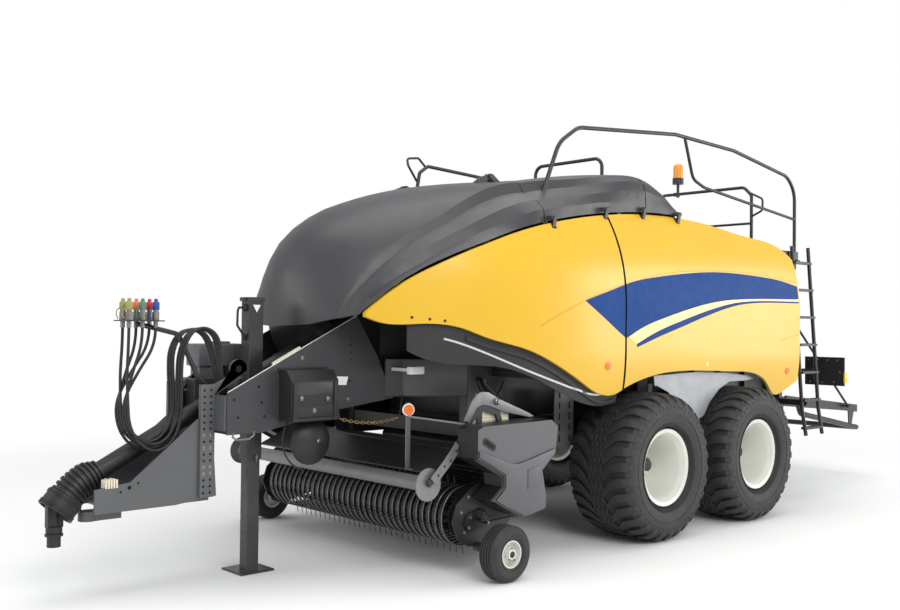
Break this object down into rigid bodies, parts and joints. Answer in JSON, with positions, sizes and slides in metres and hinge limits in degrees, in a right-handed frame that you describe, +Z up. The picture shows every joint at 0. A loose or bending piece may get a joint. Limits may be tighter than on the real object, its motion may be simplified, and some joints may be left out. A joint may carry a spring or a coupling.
{
  "type": "large square baler",
  "caption": "Trailed large square baler on tandem wheels: tined pickup, stepped hood, lifting side doors, walkway and folding bale chute.",
  "frame": {"origin": "on the ground, under the middle of the machine's length and width", "axes": "+X to the tractor, +Y to the machine's left, +Z up"},
  "size_m": [9.3286, 3.06, 3.57],
  "materials": {
    "yellow_panel": "gloss",
    "dark_panel": "satin",
    "frame_paint": "satin",
    "grey_paint": "satin",
    "silver_paint": "satin",
    "rim_paint": "gloss",
    "tyre": "matte",
    "black_plastic": "matte",
    "bare_steel": "brushed",
    "hose_rubber": "matte",
    "amber_lens": "gloss"
  },
  "bodies": {
    "chassis": {"side_trims": "dark_panel", "wheel_panels": "silver_paint", "tandem_axles": "frame_paint", "main_frame": "frame_paint", "bale_chamber": "frame_paint", "feeder_housing": "frame_paint", "drawbar_frame": "grey_paint", "drawbar_tongue": "grey_paint", "jack_sleeve": "grey_paint", "pto_guard": "black_plastic", "main_gearbox": "frame_paint", "rear_cover": "dark_panel", "deck": "frame_paint", "deck_posts": "frame_paint", "cover_frames": "frame_paint", "chamber_walls": "frame_paint", "rear_beam": "frame_paint", "handrail_left": "frame_paint", "knotter_housing": "frame_paint", "handrails": "frame_paint", "beacon_dome": "amber_lens", "ladder": "frame_paint", "light_boards": "black_plastic", "rear_frame": "frame_paint", "drive_guards": "black_plastic", "hose_arm": "frame_paint", "couplers": "bare_steel", "valve_box": "grey_paint", "hose_1": "hose_rubber", "hose_2": "hose_rubber", "hose_3": "hose_rubber", "hose_4": "hose_rubber", "hose_5": "hose_rubber", "hose_6": "hose_rubber"},
    "wheel_front_left": {"tyre_front_left": "tyre", "rim_front_left": "rim_paint"},
    "front_door_left": {"front_door_left": "yellow_panel"},
    "wheel_front_right": {"tyre_front_right": "tyre", "rim_front_right": "rim_paint"},
    "front_door_right": {"front_door_right": "yellow_panel"},
    "wheel_rear_left": {"tyre_rear_left": "tyre", "rim_rear_left": "rim_paint"},
    "rear_door_left": {"rear_door_left": "yellow_panel"},
    "wheel_rear_right": {"tyre_rear_right": "tyre", "rim_rear_right": "rim_paint"},
    "rear_door_right": {"rear_door_right": "yellow_panel"},
    "gauge_wheel_left": {"gauge_tyre_left": "tyre", "gauge_rim_left": "rim_paint"},
    "gauge_wheel_right": {"gauge_tyre_right": "tyre", "gauge_rim_right": "rim_paint"},
    "hood": {"hood": "dark_panel"},
    "jack": {"jack_leg": "grey_paint"},
    "pickup": {"pickup_frame": "frame_paint", "pickup_bands": "frame_paint", "windguard": "frame_paint", "side_shields": "dark_panel"},
    "reel": {"pickup_reel": "bare_steel"},
    "crop_roller": {"crop_roller": "silver_paint"},
    "chute": {"bale_chute": "frame_paint"},
    "chute_stays": {"chute_stays": "bare_steel"}
  },
  "joints": [
    {"name": "spin_wheel_front_left", "type": "hinge", "parent": "chassis", "child": "wheel_front_left", "pos_m": [0.235, 1.17, 0.595], "axis": [0, 1, 0], "continuous": true},
    {"name": "spin_wheel_front_right", "type": "hinge", "parent": "chassis", "child": "wheel_front_right", "pos_m": [0.235, -1.17, 0.595], "axis": [0, 1, 0], "continuous": true},
    {"name": "spin_wheel_rear_left", "type": "hinge", "parent": "chassis", "child": "wheel_rear_left", "pos_m": [-1.15, 1.17, 0.595], "axis": [0, 1, 0], "continuous": true},
    {"name": "spin_wheel_rear_right", "type": "hinge", "parent": "chassis", "child": "wheel_rear_right", "pos_m": [-1.15, -1.17, 0.595], "axis": [0, 1, 0], "continuous": true},
    {"name": "spin_gauge_wheel_left", "type": "hinge", "parent": "pickup", "child": "gauge_wheel_left", "pos_m": [2.107, 1.45, 0.191], "axis": [0, 1, 0], "continuous": true},
    {"name": "spin_gauge_wheel_right", "type": "hinge", "parent": "pickup", "child": "gauge_wheel_right", "pos_m": [2.107, -1.45, 0.191], "axis": [0, 1, 0], "continuous": true},
    {"name": "lift_pickup", "type": "hinge", "parent": "chassis", "child": "pickup", "pos_m": [1.255, 0, 0.72], "axis": [0, -1, 0], "range_deg": [0, 12]},
    {"name": "spin_reel", "type": "hinge", "parent": "pickup", "child": "reel", "pos_m": [2.135, 0, 0.388], "axis": [0, 1, 0], "continuous": true},
    {"name": "spin_crop_roller", "type": "hinge", "parent": "pickup", "child": "crop_roller", "pos_m": [2.555, 0, 0.657], "axis": [0, 1, 0], "continuous": true},
    {"name": "lift_hood", "type": "hinge", "parent": "chassis", "child": "hood", "pos_m": [1.367, 0, 2.905], "axis": [0, -1, 0], "range_deg": [0, 55]},
    {"name": "lift_front_door_left", "type": "hinge", "parent": "chassis", "child": "front_door_left", "pos_m": [0.665, 1.142, 2.655], "axis": [0.9822, 0.0476, -0.1816], "range_deg": [0, 75]},
    {"name": "lift_front_door_right", "type": "hinge", "parent": "chassis", "child": "front_door_right", "pos_m": [0.665, -1.142, 2.655], "axis": [-0.9822, 0.0476, 0.1816], "range_deg": [0, 75]},
    {"name": "lift_rear_door_left", "type": "hinge", "parent": "chassis", "child": "rear_door_left", "pos_m": [0.145, 1.128, 2.7], "axis": [1, 0, 0], "range_deg": [0, 75]},
    {"name": "lift_rear_door_right", "type": "hinge", "parent": "chassis", "child": "rear_door_right", "pos_m": [0.145, -1.128, 2.7], "axis": [-1, 0, 0], "range_deg": [0, 75]},
    {"name": "slide_jack", "type": "slide", "parent": "chassis", "child": "jack", "axis": [0, 0, 1], "range_m": [0, 0.4]},
    {"name": "fold_chute", "type": "hinge", "parent": "chassis", "child": "chute", "pos_m": [-2.925, 0, 0.93], "axis": [0, 1, 0], "range_deg": [0, 80]},
    {"name": "swing_chute_stays", "type": "hinge", "parent": "chassis", "child": "chute_stays", "pos_m": [-2.925, 0, 1.86], "axis": [0, 1, 0], "range_deg": [-54, 0]}
  ],
  "couplings": [
    {"joint": "swing_chute_stays", "follows": "fold_chute", "ratio": -0.6569}
  ]
}
